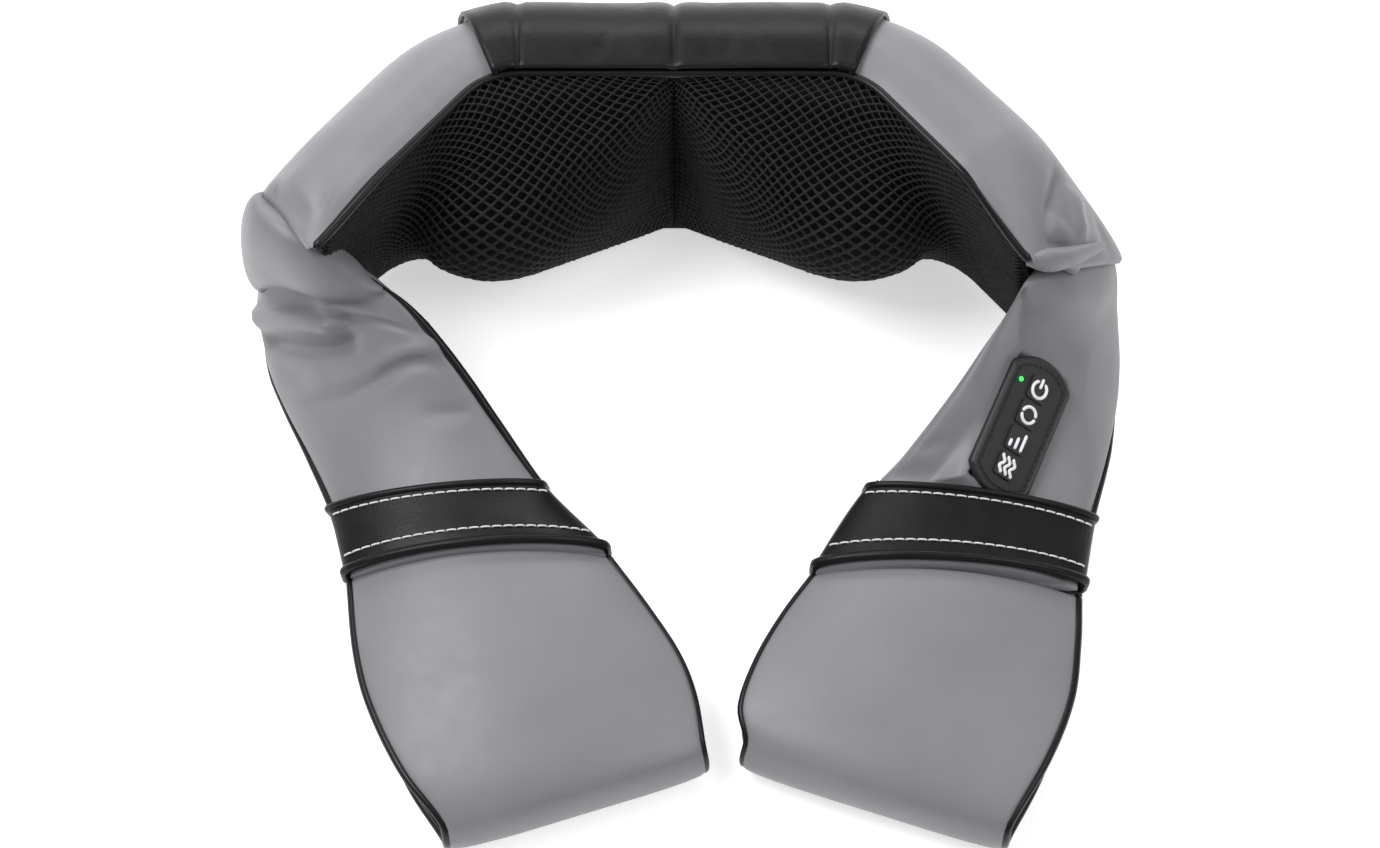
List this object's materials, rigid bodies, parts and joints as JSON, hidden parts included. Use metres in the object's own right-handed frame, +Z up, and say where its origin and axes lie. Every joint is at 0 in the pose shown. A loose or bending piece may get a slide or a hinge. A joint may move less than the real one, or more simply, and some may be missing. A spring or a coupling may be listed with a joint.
{
  "type": "shiatsu neck massager",
  "caption": "U-shaped padded neck and shoulder massager with kneading heads under a mesh cover, a button panel on one arm and hand loops at the ends of the arms.",
  "frame": {"origin": "centre of the box round the whole object, on the table it rests on", "axes": "+X across the wrap towards the arm that carries the control panel, +Y to the back of the massage unit, +Z up from the table"},
  "size_m": [0.4428, 0.4045, 0.145],
  "materials": {
    "black_leather": "satin synthetic leather with a fine grain",
    "grey_leather": "smooth matte synthetic leather",
    "spacer_mesh": "open knitted spacer mesh with diamond holes",
    "piping": "smooth black piping cord",
    "foam": "open-cell foam",
    "housing_plastic": "moulded nylon",
    "steel": "plain steel",
    "brass": "turned brass",
    "gear_plastic": "natural acetal",
    "node_plastic": "smooth moulded plastic",
    "lamp_red": "clear red lens",
    "circuit_board": "solder mask",
    "panel_silicone": "soft matte silicone with white icons",
    "light_green": "translucent green",
    "black_plastic": "moulded plastic",
    "cable_jacket": "flexible jacket"
  },
  "bodies": {
    "massage_unit": {"neck_cover": "black_leather", "left_shoulder_panel": "grey_leather", "right_shoulder_panel": "grey_leather", "mesh_cover": "spacer_mesh", "top_piping": "piping", "bottom_piping": "piping", "foam_liner": "foam", "left_wing_foam": "foam", "right_wing_foam": "foam", "left_gusset": "grey_leather", "right_gusset": "grey_leather", "rear_housing": "housing_plastic", "front_housing": "housing_plastic", "housing_screws": "steel", "motor_can": "steel", "motor_end_cap": "housing_plastic", "worm_bush": "brass", "left_layshaft": "steel", "right_layshaft": "steel", "left_spindle": "steel", "right_spindle": "steel", "left_retaining_clip": "steel", "right_retaining_clip": "steel", "left_heat_lamp": "lamp_red", "right_heat_lamp": "lamp_red", "driver_board": "circuit_board", "unit_cable": "cable_jacket"},
    "left_head": {"left_output_gear": "gear_plastic", "left_carrier": "housing_plastic", "left_tall_nodes": "node_plastic", "left_low_nodes": "node_plastic"},
    "right_head": {"right_output_gear": "gear_plastic", "right_carrier": "housing_plastic", "right_tall_nodes": "node_plastic", "right_low_nodes": "node_plastic"},
    "left_wheel": {"left_worm_wheel": "gear_plastic"},
    "right_wheel": {"right_worm_wheel": "gear_plastic"},
    "motor_rotor": {"motor_shaft": "steel", "worm": "brass"},
    "left_arm": {"left_arm_pad": "grey_leather", "left_loop_front": "grey_leather", "left_loop_back": "grey_leather", "left_band": "black_leather", "left_piping": "piping"},
    "right_arm": {"right_arm_pad": "grey_leather", "right_loop_front": "grey_leather", "right_loop_back": "grey_leather", "right_band": "black_leather", "right_piping": "piping", "panel_frame": "panel_silicone", "panel_tray": "housing_plastic", "status_light": "light_green", "key_board": "circuit_board", "power_socket": "black_plastic", "power_socket_pin": "brass", "arm_cable": "cable_jacket"},
    "power_button": {"power_key": "panel_silicone"},
    "direction_button": {"direction_key": "panel_silicone"},
    "speed_button": {"speed_key": "panel_silicone"},
    "heat_button": {"heat_key": "panel_silicone"}
  },
  "joints": [
    {"name": "left_head_spin", "type": "hinge", "parent": "massage_unit", "child": "left_head", "pos_m": [-0.09835, 0.15207, 0.0725], "axis": [0.2419, -0.9703, 0], "continuous": true},
    {"name": "right_head_spin", "type": "hinge", "parent": "massage_unit", "child": "right_head", "pos_m": [0.08795, 0.15207, 0.0725], "axis": [-0.2419, -0.9703, 0], "continuous": true},
    {"name": "left_wheel_spin", "type": "hinge", "parent": "massage_unit", "child": "left_wheel", "pos_m": [-0.03625, 0.16756, 0.0725], "axis": [0.2419, -0.9703, 0], "continuous": true},
    {"name": "right_wheel_spin", "type": "hinge", "parent": "massage_unit", "child": "right_wheel", "pos_m": [0.02585, 0.16756, 0.0725], "axis": [-0.2419, -0.9703, 0], "continuous": true},
    {"name": "motor_spin", "type": "hinge", "parent": "massage_unit", "child": "motor_rotor", "pos_m": [-0.0052, 0.1753, 0.0725], "axis": [0, 0, 1], "continuous": true},
    {"name": "left_arm_swing", "type": "hinge", "parent": "massage_unit", "child": "left_arm", "pos_m": [-0.2182, 0.0803, 0.05], "axis": [0, 0, -1], "range_deg": [0, 35]},
    {"name": "right_arm_swing", "type": "hinge", "parent": "massage_unit", "child": "right_arm", "pos_m": [0.2178, 0.0823, 0.05], "axis": [0, 0, 1], "range_deg": [0, 35]},
    {"name": "power_press", "type": "slide", "parent": "right_arm", "child": "power_button", "axis": [-0.5013, 0.391, -0.7719], "range_m": [0, 0.0008], "stiffness_N_per_m": 400},
    {"name": "direction_press", "type": "slide", "parent": "right_arm", "child": "direction_button", "axis": [-0.5013, 0.391, -0.7719], "range_m": [0, 0.0008], "stiffness_N_per_m": 400},
    {"name": "speed_press", "type": "slide", "parent": "right_arm", "child": "speed_button", "axis": [-0.5013, 0.391, -0.7719], "range_m": [0, 0.0008], "stiffness_N_per_m": 400},
    {"name": "heat_press", "type": "slide", "parent": "right_arm", "child": "heat_button", "axis": [-0.5013, 0.391, -0.7719], "range_m": [0, 0.0008], "stiffness_N_per_m": 400}
  ],
  "couplings": [
    {"joint": "right_head_spin", "follows": "left_head_spin", "ratio": -1},
    {"joint": "left_wheel_spin", "follows": "left_head_spin", "ratio": -4.7143},
    {"joint": "right_wheel_spin", "follows": "left_head_spin", "ratio": 4.7143},
    {"joint": "motor_spin", "follows": "left_head_spin", "ratio": 188.57}
  ]
}
